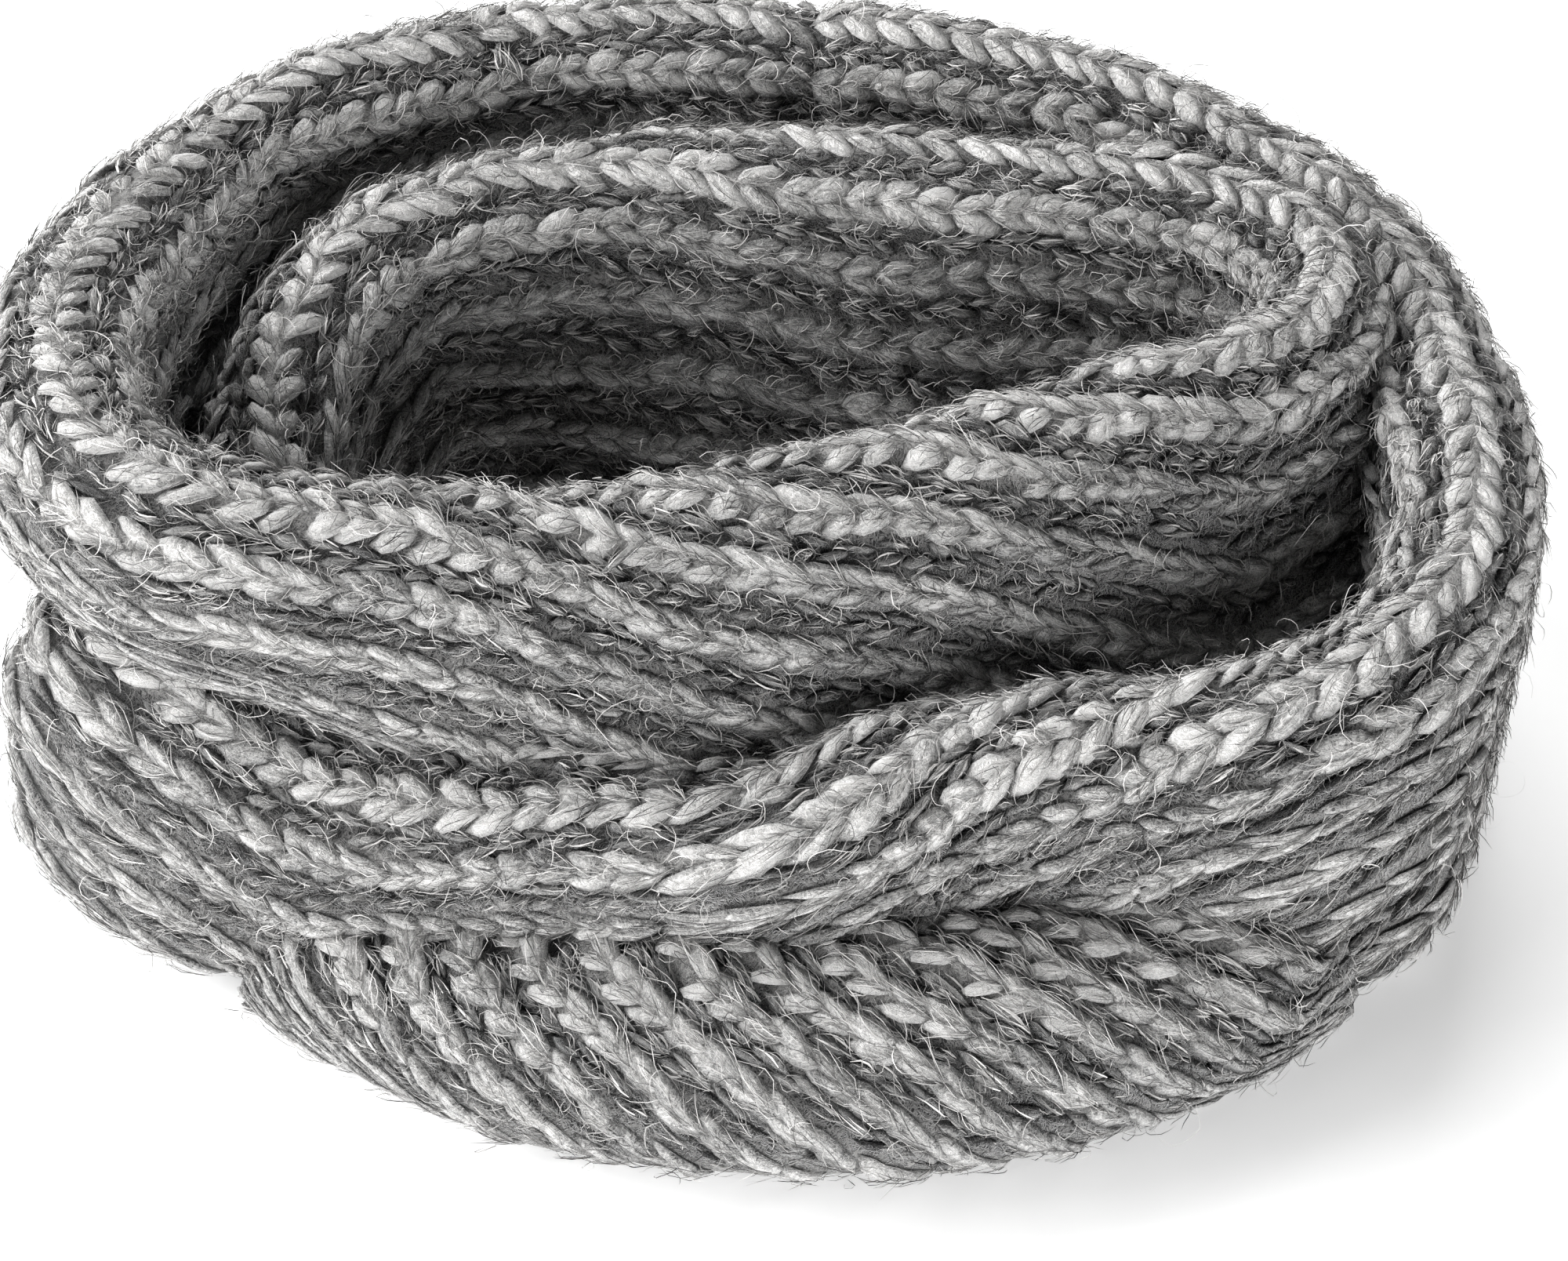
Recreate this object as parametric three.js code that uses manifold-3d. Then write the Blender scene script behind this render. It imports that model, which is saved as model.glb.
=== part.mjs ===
// Infinity scarf: one long band of chunky two-colour rib knit, its ends sewn together, folded
// in two along its length and wound twice into a nest that stands on a surface.
// Millimetres, +X right, +Y to the back, +Z up. The band runs anticlockwise seen from above:
// outer turn, over the left front, inner turn, under the left front and back to the outer turn.
import * as THREE from "three";
import { mergeVertices } from "three/addons/utils/BufferGeometryUtils.js";
import Module from "manifold-3d";

// Driving dimensions of the knitted band.
const RIB_PITCH = 14;
const RIB_COUNT = 15;
const TUCKED_PITCH = 5;
const RIB_RELIEF = 3.4;
// Places of the corners of one rib, as shares of the pitch, and their shares of the relief.
const RIB_CORNERS = [
  { at: -0.25, rise: 0.5 },
  { at: 0.25, rise: 0.5 },
  { at: 0.5, rise: -0.5 },
];

// Clearances between stretches of the band.
const SEAM_GAP = 0.3;
const PRESS_GAP = 0.45;

// How far the soft foot of the band is pressed flat by the surface that it stands on, and the
// slit up into the foot where the band's two long edges meet.
const FLOOR_PRESS = 2;
const SLIT_WIDTH = 1.4;
const SLIT_DEPTH = 7;
const SLIT_BELOW = 1;

// Spacing of the sections: along a straight run, with the turn and the number of ribs rolled
// over the ridge that also call for a new one.
const SECTION_STEP = 17;
const SECTION_TURN = THREE.MathUtils.degToRad(21);
const SECTION_ROLL = 1;
// Fine steps in which a run is measured, and steps in which a quarter round is drawn.
const FINE_STEPS = 1600;
const OUTLINE_STEPS = 10;

// Each row is one section of the folded band. x and y place its ridge in plan, out is how far
// its foot lies outside the ridge, bottom and top are its heights, thick is its thickness
// through the fold, and roll is the rib that lies on the ridge, counted outwards from rib 0.
const SECTION_COLUMNS = ["x", "y", "out", "bottom", "top", "thick", "roll"];

// The loop's stretches in the order that the band runs. Each ends where the next one starts.
const LOOP = [
  {
    node: "outer_right",
    slit: true,
    rows: [
      [130, -19, -8, 0, 80, 26, 0],
      [130, 4, -9, 0, 81, 26, 0],
      [126, 31, -8, 0, 82, 26, 0],
      [117, 57, -5, 0, 83, 26, 0],
      [102, 80, -3, 0, 84, 26, 0],
      [79, 101, -3, 0, 86, 26, 0],
      [45, 114, -3, 0, 88, 26, 0],
    ],
  },
  {
    node: "outer_left",
    slit: true,
    rows: [
      [8, 121, -3, 0, 90, 26, 0],
      [-34, 121, -3, 0, 91, 26, 0],
      [-69, 111, -4, 0, 92, 26, 0],
      [-98, 90, -4, 0, 94, 27, 0],
      [-118, 61, -4, 0, 96, 28, 0],
      [-128, 32, -2, 0, 98, 29, 0],
      [-131, 9, 1, 36, 100, 30, 0],
    ],
  },
  {
    node: "front_over",
    slit: false,
    rows: [
      [-131, -13, 0, 62, 102, 31, 0],
      [-124, -34, 0, 66, 103, 31, 0],
      [-107, -51, 0, 64, 102, 31, 0],
      [-84, -56, 0, 58, 100, 32, -0.1],
      [-54, -55, 6, 42, 97, 32, -0.6],
      [-18, -46, 26, 14, 94, 33, -2],
      [18, -31, 34, 0, 92, 32, -2.9],
      [50, -16, 36, 0, 91, 30, -4.1],
      [78, 1, 30, 0, 90, 27, -5],
      [99, 16, 18, 0, 89, 23, -5],
    ],
  },
  {
    node: "inner_loop",
    slit: true,
    rows: [
      [107, 36, 4, 0, 89, 20, -5],
      [99, 54, -6, 0, 89, 21, -5],
      [83, 66, -16, 0, 89, 23, -5],
      [52, 71, -24, 0, 89, 25, -5],
      [15, 74, -27, 0, 89, 26, -5.2],
      [-24, 75, -26, 0, 89, 26, -5.6],
      [-54, 69, -20, 0, 88, 26, -5.9],
      [-77, 54, -12, 0, 87, 26, -6],
      [-90, 30, -6, 0, 84, 26, -6],
    ],
  },
  {
    node: "front_under",
    slit: false,
    rows: [
      [-97, 4, -2, 0, 74, 27, -5.8],
      [-103, -16, 0, 0, 68, 32, -5],
      [-114, -30, 0, 0, 69, 44, -4],
      [-117, -42, 0, 0, 67, 48, -3.4],
      [-103, -55, 0, 0, 60, 46, -3.5],
      [-76, -66, 2, 4, 54, 42, -3.7],
      [-45, -79, -6, 8, 57, 37, -3.5],
      [-8, -91, -14, 12, 62, 34, -2.9],
      [30, -82, -13, 8, 67, 34, -2],
      [62, -78, -11, 4, 71, 33, -1],
      [90, -77, -7, 0, 75, 31, -0.3],
      [112, -65, -4, 0, 78, 28, 0],
      [125, -43, -7, 0, 79, 26, 0],
    ],
  },
];

// The lower front fold, the slack of the band that has slid out flat under the front.
const LOWER_FOLD = {
  node: "front_fold",
  rows: [
    [-92, -75, 0, 0, 20, 22, 0],
    [-72, -87, 0, 0, 26, 34, -1.6],
    [-40, -101, 0, 0, 32, 46, -4.2],
    [0, -108, 0, 0, 35, 50, -7],
    [40, -104, 0, 0, 34, 48, -9.6],
    [76, -92, 0, 0, 30, 40, -12],
    [101, -78, 0, 0, 22, 24, -13.6],
  ],
};

const WOOL_COLOUR = 0x8f8c8a;

const wasm = await Module();
wasm.setup();

function columnOf(rows, name) {
  const index = SECTION_COLUMNS.indexOf(name);
  return rows.map((row) => row[index]);
}

// A smooth curve through three columns of a table, by row number.
function throughColumns(rows, names, closed) {
  const columns = names.map((name) => columnOf(rows, name));
  const points = rows.map((_, i) => new THREE.Vector3(...columns.map((c) => c[i])));
  return new THREE.CatmullRomCurve3(points, closed, "catmullrom", 0.5);
}

// The band's run through a table of sections: at(t) gives the section at share t of its rows.
function runThrough(rows, closed) {
  const place = throughColumns(rows, ["x", "y", "out"], closed);
  const size = throughColumns(rows, ["bottom", "top", "thick"], closed);
  const roll = throughColumns(rows, ["roll", "roll", "roll"], closed);
  return (t) => {
    const p = place.getPoint(t);
    const s = size.getPoint(t);
    const d = place.getTangent(t).setZ(0).normalize();
    return {
      ridge: new THREE.Vector2(p.x, p.y),
      out: p.z,
      bottom: s.x,
      top: s.y,
      thick: s.z,
      roll: roll.getPoint(t).x,
      ahead: new THREE.Vector2(d.x, d.y),
    };
  };
}

// The shares between from and to at which sections are made: closer together in tight bends.
function sectionShares(at, from, to) {
  const cost = [0];
  for (let i = 1; i <= FINE_STEPS; i++) {
    const before = at(from + ((to - from) * (i - 1)) / FINE_STEPS);
    const here = at(from + ((to - from) * i) / FINE_STEPS);
    const length = here.ridge.distanceTo(before.ridge);
    const turn = Math.acos(Math.min(1, here.ahead.dot(before.ahead)));
    const rolled = Math.abs(here.roll - before.roll);
    const share = length / SECTION_STEP + turn / SECTION_TURN + rolled / SECTION_ROLL;
    cost.push(cost[i - 1] + share);
  }
  const count = Math.ceil(cost[FINE_STEPS]);
  const shares = [];
  let i = 0;
  for (let k = 0; k <= count; k++) {
    const wanted = (cost[FINE_STEPS] * k) / count;
    while (i < FINE_STEPS && cost[i] < wanted) i++;
    shares.push(from + ((to - from) * i) / FINE_STEPS);
  }
  return shares;
}

// Half of a section's plain outline, from the ridge down its outer side to the foot, as
// points of across and up from the section's middle.
function halfOutline(halfThick, halfTall) {
  const round = Math.min(halfThick, halfTall);
  const points = [new THREE.Vector2(0, halfTall)];
  const corner = (middleUp, start) => {
    for (let i = 0; i <= OUTLINE_STEPS; i++) {
      const angle = start - ((Math.PI / 2) * i) / OUTLINE_STEPS;
      points.push(
        new THREE.Vector2(
          halfThick - round + round * Math.cos(angle),
          middleUp + round * Math.sin(angle),
        ),
      );
    }
  };
  corner(halfTall - round, Math.PI / 2);
  corner(round - halfTall, 0);
  points.push(new THREE.Vector2(0, -halfTall));
  return points;
}

// Reads a section's outline: the point at a distance round it from its ridge, outer side
// first, with the way that the surface faces there.
function outlineReader(section) {
  const halfTall = (section.top - section.bottom + FLOOR_PRESS) / 2;
  const half = halfOutline(section.thick / 2, halfTall);
  const back = half.slice(1, -1).reverse().map((p) => new THREE.Vector2(-p.x, p.y));
  const lean = -section.out / (section.top - section.bottom);
  const loop = [...half, ...back].map(
    (p) => new THREE.Vector2(p.x + lean * (p.y - halfTall), p.y),
  );
  const lengths = [0];
  loop.forEach((p, i) => lengths.push(lengths[i] + p.distanceTo(loop[(i + 1) % loop.length])));
  const around = lengths[loop.length];
  const read = (distance) => {
    const wanted = THREE.MathUtils.euclideanModulo(distance, around);
    let i = 0;
    while (i < loop.length - 1 && lengths[i + 1] <= wanted) i++;
    const a = loop[i];
    const b = loop[(i + 1) % loop.length];
    const along = (wanted - lengths[i]) / Math.max(1e-6, lengths[i + 1] - lengths[i]);
    const facing = new THREE.Vector2(-(b.y - a.y), b.x - a.x).normalize();
    return { point: a.clone().lerp(b, along), facing };
  };
  return { around, read };
}

// Where a place counted in ribs from the ridge lies, as a distance round the outline and the
// share of the full rib pitch there. Ribs keep their pitch over the ridge and down the sides,
// and what the outline has no room for is tucked closer together at the foot.
function tuckedDistance(ribs, around) {
  const half = RIB_COUNT / 2;
  const q = THREE.MathUtils.euclideanModulo(ribs + half, RIB_COUNT) - half;
  const open = Math.min(half, (around / 2 - TUCKED_PITCH * half) / (RIB_PITCH - TUCKED_PITCH));
  const past = Math.abs(q) - open;
  if (open >= half) {
    return { distance: (q * around) / RIB_COUNT, room: around / RIB_COUNT / RIB_PITCH };
  }
  if (past <= 0) return { distance: q * RIB_PITCH, room: 1 };
  return {
    distance: Math.sign(q) * (open * RIB_PITCH + past * TUCKED_PITCH),
    room: TUCKED_PITCH / RIB_PITCH,
  };
}

// One ring of points round a section. Each rib keeps its number along the whole band. A ring
// of the crowns alone, lifted a little, wraps the ribs closely.
function ringOf(section, corners, lift) {
  const { around, read } = outlineReader(section);
  const out = new THREE.Vector2(section.ahead.y, -section.ahead.x);
  const middle = (section.top + section.bottom - FLOOR_PRESS) / 2;
  const ring = [];
  for (let rib = 0; rib < RIB_COUNT; rib++) {
    for (const corner of corners) {
      const { distance, room } = tuckedDistance(rib + corner.at - section.roll, around);
      const { point, facing } = read(distance);
      point.addScaledVector(facing, corner.rise * RIB_RELIEF * Math.min(1, room) + lift);
      ring.push(
        new THREE.Vector3(
          section.ridge.x + out.x * point.x,
          section.ridge.y + out.y * point.x,
          Math.max(-lift, middle + point.y),
        ),
      );
    }
  }
  return ring;
}

// A closed solid through rings of points, with flat ends.
function solidThrough(rings) {
  const count = rings[0].length;
  const positions = [];
  const triangles = [];
  const add = (p) => positions.push(p.x, p.y, p.z) / 3 - 1;
  const numbers = rings.map((ring) => ring.map(add));
  for (let i = 0; i + 1 < numbers.length; i++) {
    for (let j = 0; j < count; j++) {
      const k = (j + 1) % count;
      const [a, b, c, d] = [numbers[i][j], numbers[i][k], numbers[i + 1][k], numbers[i + 1][j]];
      const forward = rings[i][j].distanceTo(rings[i + 1][k]);
      const backward = rings[i][k].distanceTo(rings[i + 1][j]);
      if (forward < backward) triangles.push(a, c, d, a, b, c);
      else triangles.push(a, b, d, b, c, d);
    }
  }
  const ends = [
    [rings[0], numbers[0], false],
    [rings[rings.length - 1], numbers[numbers.length - 1], true],
  ];
  for (const [ring, number, turned] of ends) {
    const centre = ring.reduce((sum, p) => sum.add(p), new THREE.Vector3());
    const middle = add(centre.divideScalar(count));
    for (let j = 0; j < count; j++) {
      const k = (j + 1) % count;
      triangles.push(middle, number[turned ? j : k], number[turned ? k : j]);
    }
  }
  const geometry = new THREE.BufferGeometry();
  geometry.setAttribute("position", new THREE.Float32BufferAttribute(positions, 3));
  geometry.setIndex(triangles);
  return manifoldOf(mergeVertices(geometry, 1e-3));
}

function manifoldOf(geometry) {
  return new wasm.Manifold(
    new wasm.Mesh({
      numProp: 3,
      vertProperties: geometry.attributes.position.array,
      triVerts: new Uint32Array(geometry.index.array),
    }),
  );
}

function largestBody(solid) {
  return solid.decompose().reduce((best, body) => (body.volume() > best.volume() ? body : best));
}

function geometryOf(solid) {
  const mesh = solid.getMesh();
  const positions = new Float32Array(mesh.numVert * 3);
  for (let i = 0; i < mesh.numVert; i++) {
    positions.set(mesh.vertProperties.subarray(i * mesh.numProp, i * mesh.numProp + 3), i * 3);
  }
  const geometry = new THREE.BufferGeometry();
  geometry.setAttribute("position", new THREE.BufferAttribute(positions, 3));
  geometry.setIndex(new THREE.BufferAttribute(mesh.triVerts, 1));
  geometry.computeVertexNormals();
  return geometry;
}

// The slit between the band's two long edges, along the part of a stretch that stands on its
// foot.
function slitThrough(sections) {
  const standing = sections.filter((s) => s.bottom < FLOOR_PRESS / 2);
  return solidThrough(
    standing.map((section) => {
      const out = new THREE.Vector2(section.ahead.y, -section.ahead.x);
      const corner = (across, up) => {
        const p = section.ridge.clone().addScaledVector(out, section.out + across);
        return new THREE.Vector3(p.x, p.y, up);
      };
      return [
        corner(-SLIT_WIDTH / 2, SLIT_DEPTH),
        corner(SLIT_WIDTH / 2, SLIT_DEPTH),
        corner(SLIT_WIDTH / 2, -SLIT_BELOW),
        corner(-SLIT_WIDTH / 2, -SLIT_BELOW),
      ];
    }),
  );
}

// A stretch of a run between two shares, as the ribbed solid and as the close wrapping that is
// cut from whatever lies against it.
function stretchSolids(at, from, to, slit) {
  const sections = sectionShares(at, from, to).map(at);
  const crowns = RIB_CORNERS.filter((corner) => corner.rise > 0);
  let cloth = solidThrough(sections.map((s) => ringOf(s, RIB_CORNERS, 0)));
  if (slit) cloth = cloth.subtract(slitThrough(sections));
  return {
    cloth,
    wrapping: solidThrough(sections.map((s) => ringOf(s, crowns, PRESS_GAP))),
  };
}

function loopStretches() {
  const rows = LOOP.flatMap((stretch) => stretch.rows);
  const at = runThrough(rows, true);
  // The share of the run that half a seam gap takes up beside a share of it.
  const halfGap = (share) => {
    const step = 1 / FINE_STEPS;
    const length = at((share + step) % 1).ridge.distanceTo(at(share % 1).ridge);
    return (step * SEAM_GAP) / 2 / length;
  };
  const solids = {};
  let first = 0;
  for (const stretch of LOOP) {
    const last = first + stretch.rows.length;
    const from = first / rows.length;
    const to = last / rows.length;
    solids[stretch.node] = stretchSolids(
      at,
      from + halfGap(from),
      to - halfGap(to),
      stretch.slit,
    );
    first = last;
  }
  return solids;
}

const solids = loopStretches();
solids[LOWER_FOLD.node] = stretchSolids(runThrough(LOWER_FOLD.rows, false), 0, 1, false);

// Which stretch gives way where two press on each other.
const GIVES_WAY = [
  ["inner_loop", ["outer_right", "outer_left", "front_over"]],
  ["front_under", ["front_over", "outer_left"]],
  ["front_over", ["outer_right"]],
  ["front_fold", ["front_under", "front_over", "outer_right"]],
];
for (const [node, others] of GIVES_WAY) {
  for (const other of others) {
    solids[node].cloth = solids[node].cloth.subtract(solids[other].wrapping);
  }
  solids[node].cloth = largestBody(solids[node].cloth);
}

const scarf = new THREE.Group();
for (const [node, { cloth }] of Object.entries(solids)) {
  const material = new THREE.MeshStandardMaterial({
    color: WOOL_COLOUR,
    roughness: 0.95,
    metalness: 0,
  });
  const mesh = new THREE.Mesh(geometryOf(cloth), material);
  mesh.name = node;
  scarf.add(mesh);
}

const middle = new THREE.Box3().setFromObject(scarf).getCenter(new THREE.Vector3());
for (const mesh of scarf.children) mesh.geometry.translate(-middle.x, -middle.y, 0);

export default scarf;
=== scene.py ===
"""Looks of the infinity scarf: the knitted cloth of each stretch, its light and dark columns of
stitches, and the fine hair of the brushed wool. Lengths are in millimetres until a mesh is made."""

import math

import bpy
import numpy as np
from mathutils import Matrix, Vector
from mathutils.bvhtree import BVHTree


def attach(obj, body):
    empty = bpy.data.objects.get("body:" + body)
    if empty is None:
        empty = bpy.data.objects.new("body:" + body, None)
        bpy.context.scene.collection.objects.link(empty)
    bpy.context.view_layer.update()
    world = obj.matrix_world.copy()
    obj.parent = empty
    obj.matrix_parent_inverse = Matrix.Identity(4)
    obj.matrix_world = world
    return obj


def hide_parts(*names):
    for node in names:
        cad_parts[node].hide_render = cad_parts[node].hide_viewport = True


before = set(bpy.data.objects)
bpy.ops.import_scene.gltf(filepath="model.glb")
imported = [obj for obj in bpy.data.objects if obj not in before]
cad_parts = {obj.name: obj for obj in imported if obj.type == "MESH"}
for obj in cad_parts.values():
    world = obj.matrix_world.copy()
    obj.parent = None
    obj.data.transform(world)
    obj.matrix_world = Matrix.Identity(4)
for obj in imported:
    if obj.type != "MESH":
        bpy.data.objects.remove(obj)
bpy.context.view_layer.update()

MM = 0.001
rng = np.random.default_rng(11)

# Driving sizes of the knitted band.
RIB_PITCH = 14.0
RIB_COUNT = 15
TUCKED_PITCH = 5.0
RIB_RELIEF = 3.4
# How much wider the rib on the ridge opens than the others, and within how many ribs.
RIDGE_SPREAD = 0.22
RIDGE_SPREAD_RIBS = 0.9
# How much of each section's foot is pressed flat on the floor.
FLOOR_PRESS = 2.0
STITCH_LENGTH = 7.0

# The part's frame has its origin under the middle of its outline, here in the table's places.
FRAME_MIDDLE = (-2.6, 0.7)

# Each row is one section of the folded band: its ridge in plan, how far its foot lies outside
# the ridge, its heights, its thickness and the rib that lies on the ridge.
COLUMNS = ("x", "y", "out", "bottom", "top", "thick", "roll")
LOOP = {
    "outer_right": (
        (130, -19, -8, 0, 80, 26, 0),
        (130, 4, -9, 0, 81, 26, 0),
        (126, 31, -8, 0, 82, 26, 0),
        (117, 57, -5, 0, 83, 26, 0),
        (102, 80, -3, 0, 84, 26, 0),
        (79, 101, -3, 0, 86, 26, 0),
        (45, 114, -3, 0, 88, 26, 0),
    ),
    "outer_left": (
        (8, 121, -3, 0, 90, 26, 0),
        (-34, 121, -3, 0, 91, 26, 0),
        (-69, 111, -4, 0, 92, 26, 0),
        (-98, 90, -4, 0, 94, 27, 0),
        (-118, 61, -4, 0, 96, 28, 0),
        (-128, 32, -2, 0, 98, 29, 0),
        (-131, 9, 1, 36, 100, 30, 0),
    ),
    "front_over": (
        (-131, -13, 0, 62, 102, 31, 0),
        (-124, -34, 0, 66, 103, 31, 0),
        (-107, -51, 0, 64, 102, 31, 0),
        (-84, -56, 0, 58, 100, 32, -0.1),
        (-54, -55, 6, 42, 97, 32, -0.6),
        (-18, -46, 26, 14, 94, 33, -2),
        (18, -31, 34, 0, 92, 32, -2.9),
        (50, -16, 36, 0, 91, 30, -4.1),
        (78, 1, 30, 0, 90, 27, -5),
        (99, 16, 18, 0, 89, 23, -5),
    ),
    "inner_loop": (
        (107, 36, 4, 0, 89, 20, -5),
        (99, 54, -6, 0, 89, 21, -5),
        (83, 66, -16, 0, 89, 23, -5),
        (52, 71, -24, 0, 89, 25, -5),
        (15, 74, -27, 0, 89, 26, -5.2),
        (-24, 75, -26, 0, 89, 26, -5.6),
        (-54, 69, -20, 0, 88, 26, -5.9),
        (-77, 54, -12, 0, 87, 26, -6),
        (-90, 30, -6, 0, 84, 26, -6),
    ),
    "front_under": (
        (-97, 4, -2, 0, 74, 27, -5.8),
        (-103, -16, 0, 0, 68, 32, -5),
        (-114, -30, 0, 0, 69, 44, -4),
        (-117, -42, 0, 0, 67, 48, -3.4),
        (-103, -55, 0, 0, 60, 46, -3.5),
        (-76, -66, 2, 4, 54, 42, -3.7),
        (-45, -79, -6, 8, 57, 37, -3.5),
        (-8, -91, -14, 12, 62, 34, -2.9),
        (30, -82, -13, 8, 67, 34, -2),
        (62, -78, -11, 4, 71, 33, -1),
        (90, -77, -7, 0, 75, 31, -0.3),
        (112, -65, -4, 0, 78, 28, 0),
        (125, -43, -7, 0, 79, 26, 0),
    ),
}
LOWER_FOLD = (
    (-92, -75, 0, 0, 20, 22, 0),
    (-72, -87, 0, 0, 26, 34, -1.6),
    (-40, -101, 0, 0, 32, 46, -4.2),
    (0, -108, 0, 0, 35, 50, -7),
    (40, -104, 0, 0, 34, 48, -9.6),
    (76, -92, 0, 0, 30, 40, -12),
    (101, -78, 0, 0, 22, 24, -13.6),
)

# How finely the band's surface is worked out: along its run, across each rib, round each corner
# of a section, and between two rows of its table.
ROW_STEP = 2.0
RIB_STEPS = 8
OUTLINE_STEPS = 10
TABLE_STEPS = 60
# How far to each side the slope of a section, in mm, and of the ridge, in rows, is measured.
SLOPE_REACH = 1.2
AHEAD_STEP = 1e-3
# The least length that a vector is divided by.
TINY = 1e-6


def unit(vectors):
    """Vectors of length one."""
    return vectors / np.maximum(np.linalg.norm(vectors, axis=-1, keepdims=True), TINY)


def walk(lengths):
    """How far each place of a line lies along it, by the lengths between them."""
    return np.concatenate([[0], np.cumsum(lengths)])


def catmull(values, closed, u):
    """A smooth curve through the rows of a table, at places u counted in rows."""
    count = len(values)
    if closed:
        i = np.floor(u).astype(int)
        p0, p1, p2, p3 = (values[(i + k) % count] for k in (-1, 0, 1, 2))
    else:
        i = np.clip(np.floor(u).astype(int), 0, count - 2)
        padded = np.vstack([2 * values[0] - values[1], values, 2 * values[-1] - values[-2]])
        p0, p1, p2, p3 = (padded[i + k] for k in (0, 1, 2, 3))
    w = (u - i)[:, None]
    m1, m2 = (p2 - p0) / 2, (p3 - p1) / 2
    return (
        p1
        + m1 * w
        + (3 * (p2 - p1) - 2 * m1 - m2) * w**2
        + (2 * (p1 - p2) + m1 + m2) * w**3
    )


def outline(half_thick, half_tall, lean):
    """The plain outline of a section, from its ridge down the outer side and back up."""
    rounding = min(half_thick, half_tall)
    turn = np.linspace(0, math.pi / 2, OUTLINE_STEPS + 1)
    across = half_thick - rounding
    up = half_tall - rounding
    top = np.stack([across + rounding * np.sin(turn), up + rounding * np.cos(turn)], 1)
    low = np.stack([across + rounding * np.cos(turn), -up - rounding * np.sin(turn)], 1)
    half = np.vstack([[[0, half_tall]], top, low, [[0, -half_tall]]])
    loop = np.vstack([half, half[-2:0:-1] * [-1, 1]])
    loop[:, 0] += lean * (loop[:, 1] - half_tall)
    return loop


def tucked(ribs, around):
    """Distance round the outline of a place counted in ribs from the ridge, and its room."""
    half = RIB_COUNT / 2
    q = (ribs + half) % RIB_COUNT - half
    open_ribs = (around / 2 - TUCKED_PITCH * half) / (RIB_PITCH - TUCKED_PITCH)
    if open_ribs >= half:
        room = around / RIB_COUNT / RIB_PITCH
        return q * around / RIB_COUNT, np.full_like(q, room)
    past = np.abs(q) - open_ribs
    side = np.sign(q)
    distance = np.where(
        past <= 0, q * RIB_PITCH, side * (open_ribs * RIB_PITCH + past * TUCKED_PITCH)
    )
    # The room changes over one rib, so that neighbouring stitches shrink by degrees.
    share = np.clip((past + 0.5), 0, 1)
    return distance, 1 + (TUCKED_PITCH / RIB_PITCH - 1) * share


# Slow waves in the knit, of its ribs to the side, its surface and its tone: length along the run
# in mm, turn round the band, and height.
WAVE_COLUMNS = ("length", "turn", "height")
SIDE_WAVES = ((83.0, 0.9, 0.06), (37.0, 2.3, 0.035), (21.0, 4.1, 0.02))
SWELL_WAVES = ((97.0, 0.7, 0.55), (43.0, 1.9, 0.35), (26.0, 3.3, 0.25))
TONE_WAVES = ((61.0, 2.4, 0.08), (33.0, 4.3, 0.07), (17.0, 5.9, 0.05))


def waves(table, row, rib):
    """The sum of a table's waves at a grid row and a rib. It closes round the band."""
    rise = 0.0
    for length, turn, height in table:
        along = 2 * math.pi * row * ROW_STEP / length
        round_band = 2 * math.pi * rib / RIB_COUNT
        rise = rise + height * np.sin(along + turn * 3 * np.sin(round_band + turn))
    return rise


# Soft troughs, and ridges where the depth is below zero: the grid row and rib of the middle, half
# the length and half the width in mm, the slant off the run in degrees, depth in mm, and painted
# shade, which darkens the colour in the troughs and, where it is below zero, paints light on the
# ridges.
CREASE_COLUMNS = ("row", "rib", "length", "width", "slant", "depth", "painted_shade")
LOOP_CREASES = (
    # The joining seam, all round the band at the back: a dark joint, with painted shade in its
    # trough.
    (105.5, 14.0, 900, 4.0, 90, 3.2, 0.75),
    # Pinches in the rim at the back and in the front right, darkened with painted shade.
    (138.5, 14.4, 13, 4.5, 65, 3.2, 0.6),
    (632.5, 0.7, 13, 5.0, 80, 3.6, 0.65),
    # Dips and swells of the rim, with painted shade in the dips and painted light on the swell.
    (58.0, 0.4, 16, 9.0, 70, 1.8, 0.05),
    (172.0, 14.2, 14, 7.0, 60, 1.5, 0.06),
    (205.0, 0.6, 18, 8.0, 110, -1.2, -0.04),
    (395.0, 6.9, 15, 7.0, 75, 1.6, 0.05),
    (470.0, 8.0, 13, 6.0, 100, 1.4, 0.04),
    # Long slanting troughs and ridges in the front, with painted shade in the troughs and painted
    # light on the ridges.
    (262.0, 12.4, 34, 8.0, 24, 2.0, 0.07),
    (300.0, 10.9, 42, 9.0, -16, 2.3, 0.08),
    (318.0, 12.8, 26, 7.0, 30, -1.6, -0.06),
    (338.0, 11.6, 24, 6.5, -35, 1.9, 0.06),
    (548.0, 12.6, 14, 5.0, 8, -1.0, -0.22),
    (575.0, 12.0, 38, 8.5, -20, 2.0, 0.07),
    (598.0, 13.6, 30, 7.0, 18, -1.4, -0.05),
    (615.0, 0.9, 33, 7.5, -28, 1.8, 0.06),
    (652.0, 13.8, 20, 6.5, 40, 1.6, 0.05),
    # Troughs on the sides and at the back, like those in front, with the same painted shade and
    # light.
    (22.0, 3.2, 36, 8.0, 20, 2.1, 0.07),
    (75.0, 2.0, 28, 7.5, -25, 1.7, 0.06),
    (92.0, 4.4, 40, 9.0, 14, -1.5, -0.05),
    (128.0, 2.6, 30, 8.0, 28, 2.0, 0.07),
    (160.0, 3.6, 44, 8.5, -18, 1.9, 0.06),
    (196.0, 2.1, 26, 7.0, 35, 1.6, 0.06),
    (425.0, 4.8, 38, 8.0, -15, 1.8, 0.06),
    (452.0, 6.0, 28, 7.0, 22, -1.2, -0.05),
)
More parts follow.
